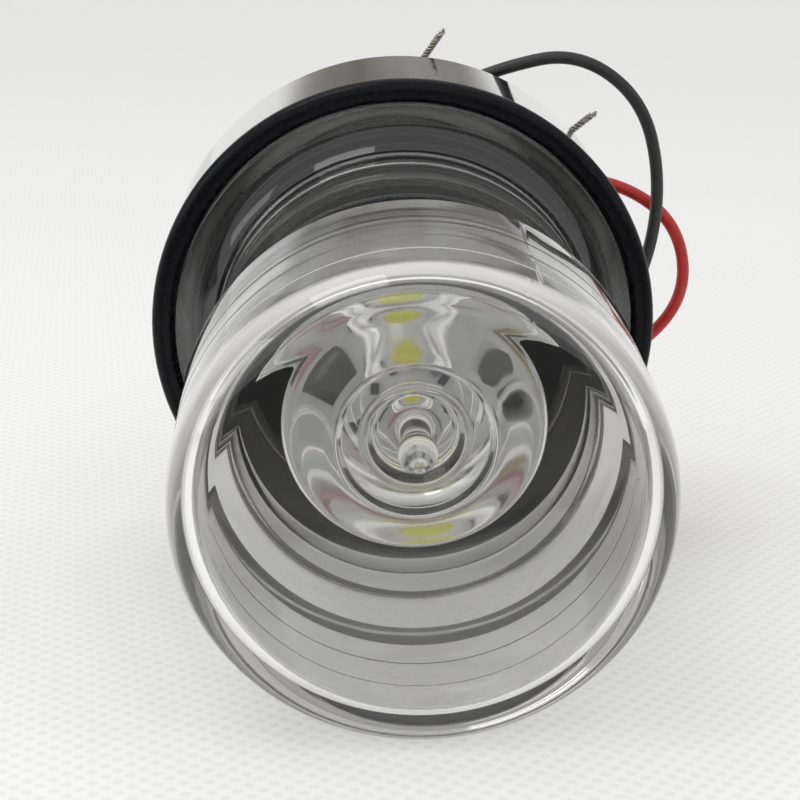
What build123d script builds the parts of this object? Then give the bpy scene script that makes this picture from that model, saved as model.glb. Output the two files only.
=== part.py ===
"""Surface-mount all-round LED navigation light for a boat, as an assembly of separate pieces.

Frame, in millimetres: the origin is the centre of the mounting face, +Y is that face's outward
normal (into the panel it is screwed to), the lens points along -Y, and +Z is up.
Heights "h" below are distances from the mounting face along the lamp's axis, towards the lens.
"""

import os
from math import cos, pi, radians, sin, tan

from build123d import *

# ---------------------------------------------------------------- driving dimensions (mm)
# steel cup
RIM_STEP = 0.7
CUP_WALL = 0.8
CUP_H = 16.4
CUP_EDGE = 0.9
PLATE_T = 0.8
GASKET_T = 1.5
CABLE_HOLE_R = 6.0
# black collar
LIP_H = 2.6
LIP_W = 2.4
LIP_ROUND = 1.1
LIP_INNER_ROUND = 0.4
LIP_GROOVE_W = 0.3
COLLAR_GASKET_T = 0.4
SHELF_H = 8.0
SHELF_T = 2.0
SHELF_HOLE_R = 4.5
SOCKET_RISE = 0.4
# lens jar
SPIGOT_R = 23.0
SPIGOT_L = 6.4
NECK_STEP = 1.1
SHOULDER = 2.5
LENS_WALL = 3.1
HEAD_WALL = 2.9
BORE_TAPER_FOOT_H = 50.0
BORE_TAPER_TOP_H = 57.0
LENS_H = 76.5
HEAD_ROUND = 4.6
NECK_TOP_H = 48.4
FRONT_T = 4.2
CEILING_ROUND = 1.4
FLANGE_T = 2.0
FLANGE_W = 4.2
FLARE = 3.6
RIB_DROPS = (8.8, 4.9)
RIB_DEPTH = 0.35
RIB_W = 0.9
# seal and slip washer under the lens flange
SEAL_STEP = 2.9
SEAL_D = 1.4
WASHER_STEP = 0.7
WASHER_W = 1.0
WASHER_T = 0.3
# turret that carries the light source
TURRET_GAP = 0.5
TURRET_TOP_H = 26.5
TURRET_WALL = 2.0
BOARD_R = 13.0
BOARD_T = 1.6
HEAT_DISC_R = 9.5
HEAT_DISC_T = 1.5
# inner optic
OPTIC_FOOT_R = 9.2
OPTIC_FOOT_H = 2.4
OPTIC_POCKET_R = 7.6
OPTIC_POCKET_H = 2.8
OPTIC_RIM_R = 13.9
OPTIC_RIM_H = 48.6
OPTIC_RIM_T = 1.2
OPTIC_CREST_R = 8.3
OPTIC_CREST_H = 54.0
OPTIC_RING_R = 5.2
OPTIC_RING_H = 53.4
OPTIC_DISH_H = 50.4
ROD_R = 1.5
BALL_R = 2.1
BALL_H = 57.0
LED_POCKET_R = 3.2
LEG_R = 0.9
LEG_BITE = 0.8
# light source
LED_W = 5.0
LED_T = 0.9
PHOSPHOR_R = 2.0
PHOSPHOR_T = 0.45
# fixings
MOUNT_PCD = 42.0
MOUNT_HOLE_R = 2.05
INSERT_R = 3.1
INSERT_L = 5.0
BOSS_R = 4.6
CUP_SCREW_R = 1.2
CUP_SCREW_L = 7.0
TURRET_SCREW_CIRCLE_R = 14.0
TURRET_SCREW_R = 1.2
TURRET_SCREW_L = 8.0
BOARD_SCREW_EDGE = 1.8
BOARD_SCREW_R = 0.8
BOARD_SCREW_L = 4.0
HEAD_RATIO = 1.9
# wiring
LEAD_D = 1.6
LEAD_PITCH = 4.4
CORE_D = 0.9
CORE_L = 7.2
# clearances
SLIP = 0.4
SNUG = 0.15
THIRDS = 3

# ---------------------------------------------------------------- worked out
NECK_R = SPIGOT_R - NECK_STEP
HEAD_R = NECK_R + SHOULDER
BORE_R = NECK_R - LENS_WALL
HEAD_BORE_R = HEAD_R - HEAD_WALL
FLANGE_R = SPIGOT_R + FLANGE_W
LIP_IN_R = FLANGE_R + SLIP
COLLAR_R = LIP_IN_R + LIP_W
CUP_R = COLLAR_R - RIM_STEP
CUP_IN_R = CUP_R - CUP_WALL
COLLAR_SPIGOT_R = CUP_IN_R - SNUG
PLATE_H = GASKET_T
PLATE_TOP_H = PLATE_H + PLATE_T
LIP_BASE_H = CUP_H + COLLAR_GASKET_T
COLLAR_TOP_H = LIP_BASE_H + LIP_H
SOCKET_FLOOR_H = LIP_BASE_H + SOCKET_RISE
FLANGE_H = SOCKET_FLOOR_H + SLIP
FLANGE_TOP_H = FLANGE_H + FLANGE_T
SPIGOT_END_H = FLANGE_H - SPIGOT_L
SOCKET_R = SPIGOT_R + SLIP
SHELF_TOP_H = SHELF_H + SHELF_T
CEILING_H = LENS_H - FRONT_T
SEAL_R = SPIGOT_R + SEAL_STEP
SEAL_GROOVE_W = SEAL_D + SLIP
SEAL_H = FLANGE_H - 0.05 - SEAL_D / 2
SEAL_GROOVE_H = SEAL_H - SEAL_D / 2 - SNUG
TURRET_R = BORE_R - TURRET_GAP
TURRET_CAVITY_R = TURRET_R - TURRET_WALL
HEAT_DISC_H = TURRET_TOP_H - HEAT_DISC_T
BOARD_TOP_H = TURRET_TOP_H + BOARD_T
BOARD_SCREW_CIRCLE_R = BOARD_R - BOARD_SCREW_EDGE
LEG_CIRCLE_R = (OPTIC_POCKET_R + OPTIC_FOOT_R) / 2
OPTIC_POCKET_TOP_H = BOARD_TOP_H + OPTIC_POCKET_H
MOUNT_R = MOUNT_PCD / 2
INSERT_H = PLATE_TOP_H + SNUG
WIRE_X = LEAD_PITCH / 2
GROMMET_R = CABLE_HOLE_R - SNUG
GROMMET_TOP_H = PLATE_TOP_H + 1.2
WIRE_HOLE_R = LEAD_D / 2 + SNUG

LAMP_AXIS = Axis((0, 0, 0), (0, -1, 0))
HALF = Plane(origin=(0, 0, 0), x_dir=(1, 0, 0), z_dir=(0, 0, -1))
FACE = Plane(origin=(0, 0, 0), x_dir=(1, 0, 0), z_dir=(0, -1, 0))

os.makedirs("parts", exist_ok=True)


def at(height):
    """The plane across the lamp at this height, its normal towards the lens."""
    return FACE.offset(height)


def save(piece, name):
    """Labels a finished piece and writes it as one STEP file."""
    piece.part.label = name
    export_step(piece.part, f"parts/{name}.step")


def turned(outline):
    """Revolves one closed outline of (radius, height) points round the lamp's axis."""
    with BuildPart() as body:
        with BuildSketch(HALF):
            with BuildLine():
                Polyline(*outline, close=True)
            make_face()
        revolve(axis=LAMP_AXIS)
    return body


def rim_edges(body, radius, height):
    """The circular edges of a body in progress that have this radius and stand at this height."""
    circles = body.edges().filter_by(GeomType.CIRCLE).filter_by(lambda e: abs(e.radius - radius) < 0.01)
    return circles.filter_by(lambda e: abs(e.center().Y + height) < 0.01)


def round_circle(radius, start=90):
    """The three places of a fixing circle."""
    return PolarLocations(radius, THIRDS, start)


def screws(name, seat_h, length, radius, circle, start, count, towards_lens):
    """A group of pan-head screws on one circle, the heads on seat_h and the shanks one way."""
    head_t = radius * 1.1
    way = 1 if towards_lens else -1
    with BuildPart() as group:
        with BuildSketch(at(seat_h)):
            with PolarLocations(circle, count, start):
                Circle(radius)
        extrude(amount=way * length)
        with BuildSketch(at(seat_h)):
            with PolarLocations(circle, count, start):
                Circle(radius * HEAD_RATIO)
        extrude(amount=-way * head_t)
        with BuildSketch(at(seat_h - way * head_t)):
            with PolarLocations(circle, count, start):
                Rectangle(radius * 2.6, radius * 0.5)
                Rectangle(radius * 0.5, radius * 2.6)
        extrude(amount=way * head_t * 0.55, mode=Mode.SUBTRACT)
    save(group, name)


# ---------------------------------------------------------------- steel cup
# A deep-drawn cup. Its back plate is set in by the gasket's thickness, so the gasket lies flush.
with BuildPart() as steel_cup:
    with BuildSketch(HALF):
        with BuildLine():
            Polyline(
                (CABLE_HOLE_R, PLATE_H),
                (CUP_IN_R, PLATE_H),
                (CUP_IN_R, 0),
                (CUP_R, 0),
                (CUP_R, CUP_H),
                (CUP_IN_R, CUP_H),
                (CUP_IN_R, PLATE_TOP_H),
                (CABLE_HOLE_R, PLATE_TOP_H),
                close=True,
            )
        make_face()
    revolve(axis=LAMP_AXIS)
    fillet(rim_edges(steel_cup, CUP_R, 0), min(CUP_EDGE, CUP_WALL * 0.8))
    with BuildSketch(at(0)):
        with round_circle(MOUNT_R):
            Circle(MOUNT_HOLE_R)
        with round_circle(MOUNT_R, 30):
            Circle(CUP_SCREW_R + SNUG)
    extrude(amount=PLATE_TOP_H + 1, mode=Mode.SUBTRACT)
save(steel_cup, "steel_cup")

# ---------------------------------------------------------------- mounting gasket
CUP_SCREW_HEAD_T = CUP_SCREW_R * 1.1
with BuildPart() as mounting_gasket:
    with BuildSketch(at(0)):
        Circle(CUP_IN_R - SNUG)
        Circle(CABLE_HOLE_R + 2.6, mode=Mode.SUBTRACT)
        with round_circle(MOUNT_R):
            Circle(MOUNT_HOLE_R, mode=Mode.SUBTRACT)
    extrude(amount=GASKET_T)
    with BuildSketch(at(GASKET_T)):
        with round_circle(MOUNT_R, 30):
            Circle(CUP_SCREW_R * HEAD_RATIO + SNUG)
    extrude(amount=-CUP_SCREW_HEAD_T - SNUG, mode=Mode.SUBTRACT)
save(mounting_gasket, "mounting_gasket")

# ---------------------------------------------------------------- cable grommet
with BuildPart() as cable_grommet:
    with BuildSketch(at(0.1)):
        Circle(CABLE_HOLE_R + 1.9)
    extrude(amount=PLATE_H - 0.1)
    with BuildSketch(at(PLATE_H)):
        Circle(GROMMET_R)
    extrude(amount=PLATE_T)
    with BuildSketch(at(PLATE_TOP_H)):
        Circle(CABLE_HOLE_R + 1.2)
    extrude(amount=GROMMET_TOP_H - PLATE_TOP_H)
    with BuildSketch(at(0)):
        with Locations((-WIRE_X, 0), (WIRE_X, 0)):
            Circle(WIRE_HOLE_R)
    extrude(amount=GROMMET_TOP_H + 1, mode=Mode.SUBTRACT)
save(cable_grommet, "cable_grommet")

# ---------------------------------------------------------------- collar gasket
collar_gasket = turned(
    [
        (COLLAR_SPIGOT_R + SNUG, CUP_H),
        (CUP_R - 0.1, CUP_H),
        (CUP_R - 0.1, LIP_BASE_H),
        (COLLAR_SPIGOT_R + SNUG, LIP_BASE_H),
    ]
)
save(collar_gasket, "collar_gasket")

# ---------------------------------------------------------------- black collar
# The outer lip, the seat of the lens flange, the lens socket, and the shelf with its bosses.
with BuildPart() as black_collar:
    with BuildSketch(HALF):
        with BuildLine():
            Polyline(
                (SHELF_HOLE_R, SHELF_H),
                (COLLAR_SPIGOT_R, SHELF_H),
                (COLLAR_SPIGOT_R, LIP_BASE_H),
                (COLLAR_R, LIP_BASE_H),
                (COLLAR_R, COLLAR_TOP_H),
                (LIP_IN_R, COLLAR_TOP_H),
                (LIP_IN_R, SOCKET_FLOOR_H),
                (SEAL_R + SEAL_GROOVE_W / 2, SOCKET_FLOOR_H),
                (SEAL_R + SEAL_GROOVE_W / 2, SEAL_GROOVE_H),
                (SEAL_R - SEAL_GROOVE_W / 2, SEAL_GROOVE_H),
                (SEAL_R - SEAL_GROOVE_W / 2, SOCKET_FLOOR_H),
                (SOCKET_R, SOCKET_FLOOR_H),
                (SOCKET_R, SHELF_TOP_H),
                (SHELF_HOLE_R, SHELF_TOP_H),
                close=True,
            )
        make_face()
    revolve(axis=LAMP_AXIS)
    fillet(rim_edges(black_collar, COLLAR_R, LIP_BASE_H), LIP_ROUND)
    fillet(rim_edges(black_collar, COLLAR_R, COLLAR_TOP_H), LIP_ROUND)
    fillet(rim_edges(black_collar, LIP_IN_R, COLLAR_TOP_H), LIP_INNER_ROUND)
    with BuildSketch(HALF):
        with Locations((LIP_IN_R + LIP_W / 2, COLLAR_TOP_H)):
            Rectangle(LIP_GROOVE_W, LIP_GROOVE_W)
    revolve(axis=LAMP_AXIS, mode=Mode.SUBTRACT)
    with BuildSketch(at(SHELF_H)):
        with round_circle(MOUNT_R):
            Circle(BOSS_R)
        with round_circle(MOUNT_R, 30):
            Circle(BOSS_R * 0.7)
    extrude(amount=-(SHELF_H - PLATE_TOP_H - SNUG))
    with BuildSketch(at(PLATE_TOP_H)):
        with round_circle(MOUNT_R):
            Circle(INSERT_R)
    extrude(amount=SNUG + INSERT_L, mode=Mode.SUBTRACT)
    with BuildSketch(at(PLATE_TOP_H)):
        with round_circle(MOUNT_R, 30):
            Circle(CUP_SCREW_R)
    extrude(amount=CUP_SCREW_L - PLATE_T + SNUG, mode=Mode.SUBTRACT)
    with BuildSketch(at(SHELF_H - 1)):
        with round_circle(TURRET_SCREW_CIRCLE_R, 30):
            Circle(TURRET_SCREW_R + SNUG)
    extrude(amount=SHELF_T + 2, mode=Mode.SUBTRACT)
save(black_collar, "black_collar")

# ---------------------------------------------------------------- threaded inserts
with BuildPart() as threaded_inserts:
    with BuildSketch(at(INSERT_H)):
        with round_circle(MOUNT_R):
            Circle(INSERT_R)
            Circle(MOUNT_HOLE_R, mode=Mode.SUBTRACT)
    extrude(amount=INSERT_L)
save(threaded_inserts, "threaded_inserts")

# ---------------------------------------------------------------- lens seal and slip washer
with BuildPart() as lens_seal:
    with BuildSketch(HALF):
        with Locations((SEAL_R, SEAL_H)):
            Circle(SEAL_D / 2)
    revolve(axis=LAMP_AXIS)
save(lens_seal, "lens_seal")

WASHER_H = SOCKET_FLOOR_H + 0.03
WASHER_IN_R = SPIGOT_R + WASHER_STEP
slip_washer = turned(
    [
        (WASHER_IN_R, WASHER_H),
        (WASHER_IN_R + WASHER_W, WASHER_H),
        (WASHER_IN_R + WASHER_W, WASHER_H + WASHER_T),
        (WASHER_IN_R, WASHER_H + WASHER_T),
    ]
)
save(slip_washer, "slip_washer")

# ---------------------------------------------------------------- lens jar
# Thick clear jar: spigot, flange with a flared foot, ribbed neck, wide head, rounded flat front.
with BuildPart() as lens_jar:
    with BuildSketch(HALF):
        with BuildLine():
            l1 = Polyline(
                (BORE_R, SPIGOT_END_H),
                (SPIGOT_R, SPIGOT_END_H),
                (SPIGOT_R, FLANGE_H),
                (FLANGE_R, FLANGE_H),
                (FLANGE_R, FLANGE_TOP_H),
                (NECK_R + FLARE, FLANGE_TOP_H),
            )
            l2 = RadiusArc(l1 @ 1, (NECK_R, FLANGE_TOP_H + FLARE), FLARE, short_sagitta=True)
            l3 = Line(l2 @ 1, (NECK_R, NECK_TOP_H))
            l4 = RadiusArc(l3 @ 1, (HEAD_R, NECK_TOP_H + SHOULDER), SHOULDER, short_sagitta=True)
            l5 = Line(l4 @ 1, (HEAD_R, LENS_H - HEAD_ROUND))
            l6 = RadiusArc(l5 @ 1, (HEAD_R - HEAD_ROUND, LENS_H), -HEAD_ROUND, short_sagitta=True)
            l7 = Polyline(l6 @ 1, (0, LENS_H), (0, CEILING_H), (HEAD_BORE_R - CEILING_ROUND, CEILING_H))
            l8 = RadiusArc(l7 @ 1, (HEAD_BORE_R, CEILING_H - CEILING_ROUND), CEILING_ROUND, short_sagitta=True)
            Polyline(l8 @ 1, (HEAD_BORE_R, BORE_TAPER_TOP_H), (BORE_R, BORE_TAPER_FOOT_H), l1 @ 0)
        make_face()
    revolve(axis=LAMP_AXIS)
    with BuildSketch(HALF):
        with Locations(*[(NECK_R, NECK_TOP_H - drop) for drop in RIB_DROPS]):
            Rectangle(2 * RIB_DEPTH, RIB_W)
    revolve(axis=LAMP_AXIS, mode=Mode.SUBTRACT)
save(lens_jar, "lens_jar")

# ---------------------------------------------------------------- board turret
# A black tower on the shelf; its top is the dark floor seen inside the lens.
TURRET_CAVITY_TOP_H = HEAT_DISC_H - 1.5
with BuildPart() as board_turret:
    with BuildSketch(HALF):
        with BuildLine():
            Polyline(
                (TURRET_CAVITY_R, SHELF_TOP_H),
                (TURRET_R, SHELF_TOP_H),
                (TURRET_R, TURRET_TOP_H),
                (HEAT_DISC_R + SNUG, TURRET_TOP_H),
                (HEAT_DISC_R + SNUG, HEAT_DISC_H),
                (SHELF_HOLE_R, HEAT_DISC_H),
                (SHELF_HOLE_R, TURRET_CAVITY_TOP_H),
                (TURRET_CAVITY_R, TURRET_CAVITY_TOP_H),
                close=True,
            )
        make_face()
    revolve(axis=LAMP_AXIS)
    fillet(rim_edges(board_turret, TURRET_R, TURRET_TOP_H), 0.6)
    with BuildSketch(at(SHELF_TOP_H)):
        with round_circle(TURRET_SCREW_CIRCLE_R, 30):
            Circle(TURRET_SCREW_R * 2.2)
    extrude(amount=TURRET_CAVITY_TOP_H - SHELF_TOP_H + 0.2)
    with BuildSketch(at(SHELF_TOP_H)):
        with round_circle(TURRET_SCREW_CIRCLE_R, 30):
            Circle(TURRET_SCREW_R)
    extrude(amount=TURRET_SCREW_L - SHELF_T + SNUG, mode=Mode.SUBTRACT)
    with BuildSketch(at(TURRET_TOP_H)):
        with PolarLocations(BOARD_SCREW_CIRCLE_R, 2, 0):
            Circle(BOARD_SCREW_R)
    extrude(amount=-(BOARD_SCREW_L - BOARD_T + 0.3), mode=Mode.SUBTRACT)
save(board_turret, "board_turret")

# ---------------------------------------------------------------- heat disc and circuit board
with BuildPart() as heat_disc:
    with BuildSketch(at(HEAT_DISC_H)):
        Circle(HEAT_DISC_R)
        with Locations((-WIRE_X, 0), (WIRE_X, 0)):
            Circle(WIRE_HOLE_R, mode=Mode.SUBTRACT)
        with round_circle(LEG_CIRCLE_R):
            Circle(LEG_R + SNUG, mode=Mode.SUBTRACT)
    extrude(amount=HEAT_DISC_T)
save(heat_disc, "heat_disc")

with BuildPart() as circuit_board:
    with BuildSketch(at(TURRET_TOP_H)):
        Circle(BOARD_R)
        with PolarLocations(BOARD_SCREW_CIRCLE_R, 2, 0):
            Circle(BOARD_SCREW_R + SNUG, mode=Mode.SUBTRACT)
        with round_circle(LEG_CIRCLE_R):
            Circle(LEG_R + SNUG, mode=Mode.SUBTRACT)
    extrude(amount=BOARD_T)
save(circuit_board, "circuit_board")

# ---------------------------------------------------------------- light source
LED_TOP_H = BOARD_TOP_H + LED_T
with BuildPart() as led_package:
    with BuildSketch(at(BOARD_TOP_H)):
        Rectangle(LED_W, LED_W)
    extrude(amount=LED_T)
    chamfer(led_package.edges().filter_by(Axis.Y), 0.5)
save(led_package, "led_package")

with BuildPart() as led_phosphor:
    with BuildSketch(at(LED_TOP_H)):
        Circle(PHOSPHOR_R)
    extrude(amount=PHOSPHOR_T)
    fillet(led_phosphor.edges().filter_by(GeomType.CIRCLE).sort_by(Axis.Y)[0], PHOSPHOR_T * 0.7)
save(led_phosphor, "led_phosphor")


def chips(name, places, length, width, height):
    """A group of equal surface-mount blocks on the board, at (x, z, angle) places."""
    with BuildPart() as group:
        for x, z, angle in places:
            with BuildSketch(at(BOARD_TOP_H)):
                with Locations(Location((x, z, 0), (0, 0, angle))):
                    Rectangle(length, width)
            extrude(amount=height)
    save(group, name)


chips("resistors", [(4.9, 3.1, 60), (-3.2, 4.9, 120), (5.7, -2.0, 90), (-5.7, 1.6, 90)], 2.0, 1.25, 0.55)
chips("capacitors", [(2.6, -5.0, 150), (0.9, 5.8, 0)], 2.0, 1.3, 1.1)
chips("driver_chip", [(-4.9, -2.6, 60)], 2.9, 1.7, 1.1)
chips("power_inductor", [(3.6, 5.0, 30)], 1.9, 1.9, 1.6)

# A glass diode: a small barrel lying on the board between two tinned ends.
DIODE_R = 0.7
DIODE_L = 3.4
DIODE_Z = -4.9
with BuildPart() as glass_diode:
    diode_start = (-1.1 - DIODE_L / 2, -(BOARD_TOP_H + DIODE_R), DIODE_Z)
    with BuildSketch(Plane(origin=diode_start, z_dir=(1, 0, 0))):
        Circle(DIODE_R)
    extrude(amount=DIODE_L)
save(glass_diode, "glass_diode")

# ---------------------------------------------------------------- solder joints of the two wires
with BuildPart() as solder_joints:
    for side in (-1, 1):
        with BuildSketch(at(BOARD_TOP_H)):
            with Locations((side * 7.0, -0.3 * side)):
                Circle(0.45)
        extrude(amount=0.5, taper=20)
save(solder_joints, "solder_joints")

# ---------------------------------------------------------------- inner optic
# Clear moulded body over the light source: foot ring, flared side, domed top with two rings,
# and a rod with a ball tip on the axis.
with BuildPart() as inner_optic:
    with BuildSketch(HALF):
        with BuildLine():
            o1 = Polyline(
                (OPTIC_POCKET_R, OPTIC_POCKET_TOP_H),
                (OPTIC_POCKET_R, BOARD_TOP_H),
                (OPTIC_FOOT_R, BOARD_TOP_H),
                (OPTIC_FOOT_R, BOARD_TOP_H + OPTIC_FOOT_H),
            )
            o2 = ThreePointArc(
                o1 @ 1,
                (
                    OPTIC_FOOT_R + 0.30 * (OPTIC_RIM_R - OPTIC_FOOT_R),
                    BOARD_TOP_H + OPTIC_FOOT_H + 0.55 * (OPTIC_RIM_H - BOARD_TOP_H - OPTIC_FOOT_H),
                ),
                (OPTIC_RIM_R, OPTIC_RIM_H),
            )
            o3 = Line(o2 @ 1, (OPTIC_RIM_R, OPTIC_RIM_H + OPTIC_RIM_T))
            o4 = ThreePointArc(
                o3 @ 1,
                (
                    0.46 * OPTIC_RIM_R + 0.54 * OPTIC_CREST_R,
                    0.28 * (OPTIC_RIM_H + OPTIC_RIM_T) + 0.72 * OPTIC_CREST_H,
                ),
                (OPTIC_CREST_R, OPTIC_CREST_H),
            )
            o5 = Polyline(
                o4 @ 1,
                (OPTIC_CREST_R - 0.6, OPTIC_CREST_H - 0.9),
                (OPTIC_RING_R + 0.5, OPTIC_RING_H - 0.9),
                (OPTIC_RING_R, OPTIC_RING_H),
            )
            o6 = ThreePointArc(
                o5 @ 1,
                (OPTIC_RING_R - 1.2, OPTIC_DISH_H + 1.2),
                (ROD_R, OPTIC_DISH_H),
            )
            NECK_DROP = (BALL_R**2 - ROD_R**2) ** 0.5
            o7 = Line(o6 @ 1, (ROD_R, BALL_H - NECK_DROP))
            o8 = ThreePointArc(
                o7 @ 1,
                (BALL_R * cos(radians(20)), BALL_H + BALL_R * sin(radians(20))),
                (0, BALL_H + BALL_R),
            )
            o9 = Line(o8 @ 1, (0, OPTIC_POCKET_TOP_H + LED_POCKET_R))
            o10 = ThreePointArc(
                o9 @ 1,
                (LED_POCKET_R * cos(radians(45)), OPTIC_POCKET_TOP_H + LED_POCKET_R * sin(radians(45))),
                (LED_POCKET_R, OPTIC_POCKET_TOP_H),
            )
            Line(o10 @ 1, o1 @ 0)
        make_face()
    revolve(axis=LAMP_AXIS)
    with BuildSketch(at(BOARD_TOP_H + 0.5)):
        with round_circle(LEG_CIRCLE_R):
            Circle(LEG_R)
    extrude(amount=-(BOARD_T + LEG_BITE + 0.5))
save(inner_optic, "inner_optic")

# ---------------------------------------------------------------- screws
screws("cup_screws", PLATE_H, CUP_SCREW_L, CUP_SCREW_R, MOUNT_R, 30, THIRDS, True)
screws("turret_screws", SHELF_H, TURRET_SCREW_L, TURRET_SCREW_R, TURRET_SCREW_CIRCLE_R, 30, THIRDS, True)
screws("board_screws", BOARD_TOP_H, BOARD_SCREW_L, BOARD_SCREW_R, BOARD_SCREW_CIRCLE_R, 0, 2, False)

# ---------------------------------------------------------------- inner wires and their tie
for name, x in (("inner_wire_black", -WIRE_X), ("inner_wire_red", WIRE_X)):
    with BuildPart() as wire:
        with BuildSketch(at(0.8)):
            with Locations((x, 0)):
                Circle(LEAD_D / 2)
        extrude(amount=TURRET_TOP_H - 0.8)
    save(wire, name)

TIE_H = 12.0
TIE_T = 1.0
with BuildPart() as wire_tie:
    with BuildSketch(at(TIE_H)):
        SlotOverall(LEAD_PITCH + LEAD_D + 2 * (SNUG + TIE_T), LEAD_D + 2 * (SNUG + TIE_T))
        SlotOverall(LEAD_PITCH + LEAD_D + 2 * SNUG, LEAD_D + 2 * SNUG, mode=Mode.SUBTRACT)
    extrude(amount=2.4)
    with BuildSketch(at(TIE_H - 0.4)):
        with Locations((0, LEAD_D / 2 + SNUG + TIE_T + 0.9)):
            Rectangle(3.2, 2.6)
    extrude(amount=3.2)
save(wire_tie, "wire_tie")

# ---------------------------------------------------------------- leads behind the lamp
# Two insulated leads leave the grommet, loop once behind the cup and end in bare tinned cores.
BLACK_ROUTE = [
    (-WIRE_X, -0.8, 0.0),
    (-WIRE_X, 6.4, 0.0),
    (-5.8, 11.6, -5.6),
    (-2.6, 12.0, -14.4),
    (7.4, 9.8, -19.6),
    (18.6, 8.2, -17.5),
    (28.2, 6.8, -10.2),
    (32.9, 5.2, 0.9),
    (33.8, 4.2, 12.5),
    (30.8, 3.8, 23.2),
    (22.2, 3.6, 29.2),
    (12.6, 4.0, 27.0),
    (5.2, 4.8, 23.4),
    (0.8, 5.4, 17.6),
    (1.6, 5.9, 10.8),
    (7.2, 6.0, 7.8),
    (13.4, 5.6, 11.6),
    (19.6, 5.0, 16.8),
]
RED_ROUTE = [
    (WIRE_X, -0.8, 0.0),
    (WIRE_X, 7.6, 0.0),
    (7.6, 14.2, 4.4),
    (18.5, 13.2, 11.1),
    (29.5, 9.2, 11.0),
    (37.0, 7.0, 5.8),
    (38.7, 7.6, -4.2),
    (32.8, 10.2, -12.8),
    (21.5, 13.6, -20.2),
    (8.0, 15.0, -23.4),
    (-6.5, 15.6, -18.4),
    (-14.2, 14.0, -6.0),
    (-12.0, 11.2, 7.2),
    (-4.4, 8.6, 16.2),
    (1.7, 5.4, 26.0),
]


def corner_radii(name, points):
    """One radius for each corner, 0.45 of the shorter run over the tangent of half the turn."""
    vectors = [Vector(*p) for p in points]
    radii = []
    for before, here, after in zip(vectors, vectors[1:], vectors[2:]):
        turn = (here - before).get_angle(after - here)
        run = min((here - before).length, (after - here).length)
        radii.append(0.45 * run / tan(radians(turn / 2)))
    runs = [round((b - a).length, 1) for a, b in zip(vectors, vectors[1:])]
    print(name, "runs", runs)
    print(name, "radii in lead diameters", [round(r / LEAD_D, 1) for r in radii])
    return radii


def lead(name, route):
    """An insulated lead as straight runs with tangent arcs, and its bare core as a node."""
    path = FilletPolyline(*route, radius=corner_radii(name, route))
    with BuildPart() as tube:
        with BuildSketch(Plane(origin=route[0], z_dir=Vector(*route[1]) - Vector(*route[0]))):
            Circle(LEAD_D / 2)
        sweep(path=path)
    exact = path.length * pi * (LEAD_D / 2) ** 2
    print(name, "length", round(path.length, 1), "volume ratio", round(tube.part.volume / exact, 4))
    save(tube, f"lead_{name}")
    with BuildPart() as core:
        with BuildSketch(Plane(origin=route[-1], z_dir=Vector(*route[-1]) - Vector(*route[-2]))):
            Circle(CORE_D / 2)
        extrude(amount=CORE_L)
    save(core, f"lead_end_{name}")


lead("black", BLACK_ROUTE)
lead("red", RED_ROUTE)
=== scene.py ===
# %% [markdown]
# # A small navigation light, lying on its side
#
# The lamp is a clear jar that screws into a black collar on a polished steel cup. Inside
# stand a white circuit board with its LED and a clear moulded optic, and two thin leads come out
# of the back. Nearly every piece is a solid of revolution, so this lesson is mostly about drawing
# good profiles and turning them, and about materials that look right when light goes through
# them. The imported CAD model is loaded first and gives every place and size.

# %% Load the frame
import math

import bmesh
import bpy
import numpy as np
from mathutils import Matrix, Vector


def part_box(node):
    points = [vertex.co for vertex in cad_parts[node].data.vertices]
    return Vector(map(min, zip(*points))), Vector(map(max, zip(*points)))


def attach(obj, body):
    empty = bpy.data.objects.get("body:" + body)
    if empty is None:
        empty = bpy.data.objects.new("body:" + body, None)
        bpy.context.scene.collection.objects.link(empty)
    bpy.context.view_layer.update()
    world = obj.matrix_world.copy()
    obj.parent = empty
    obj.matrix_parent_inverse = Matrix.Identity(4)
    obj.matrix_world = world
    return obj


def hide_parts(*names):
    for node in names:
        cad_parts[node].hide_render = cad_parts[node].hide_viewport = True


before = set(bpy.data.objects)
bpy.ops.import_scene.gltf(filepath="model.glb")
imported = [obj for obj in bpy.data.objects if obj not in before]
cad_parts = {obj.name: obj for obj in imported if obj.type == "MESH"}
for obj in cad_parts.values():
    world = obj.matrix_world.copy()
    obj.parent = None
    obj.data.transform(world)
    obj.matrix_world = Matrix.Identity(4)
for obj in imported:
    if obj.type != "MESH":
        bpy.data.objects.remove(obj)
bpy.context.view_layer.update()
MM = 0.001

# %% [markdown]
# ## Camera
# The lamp's axis runs along Y: the mounting face is at y = 0 and the lens points to -Y. The
# camera stands in front of the lens, a little above it, and looks down by about twenty degrees.
# A long lens from a quarter of a metre away keeps the rims nearly round, as a phone does when it
# is zoomed in on a small thing. The plain Standard transform keeps white sheet white and black
# plastic black, and clear walls need more bounces than usual before a ray gets out again.

# %% Camera
CAMERA_PLACE = Vector((-9.2, -245.6, 75.6)) * MM
CAMERA_AIM = Vector((-0.4, -20.9, -8.3)) * MM
CAMERA_ROLL = math.radians(0.8)
CAMERA_LENS = 90.0

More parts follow.
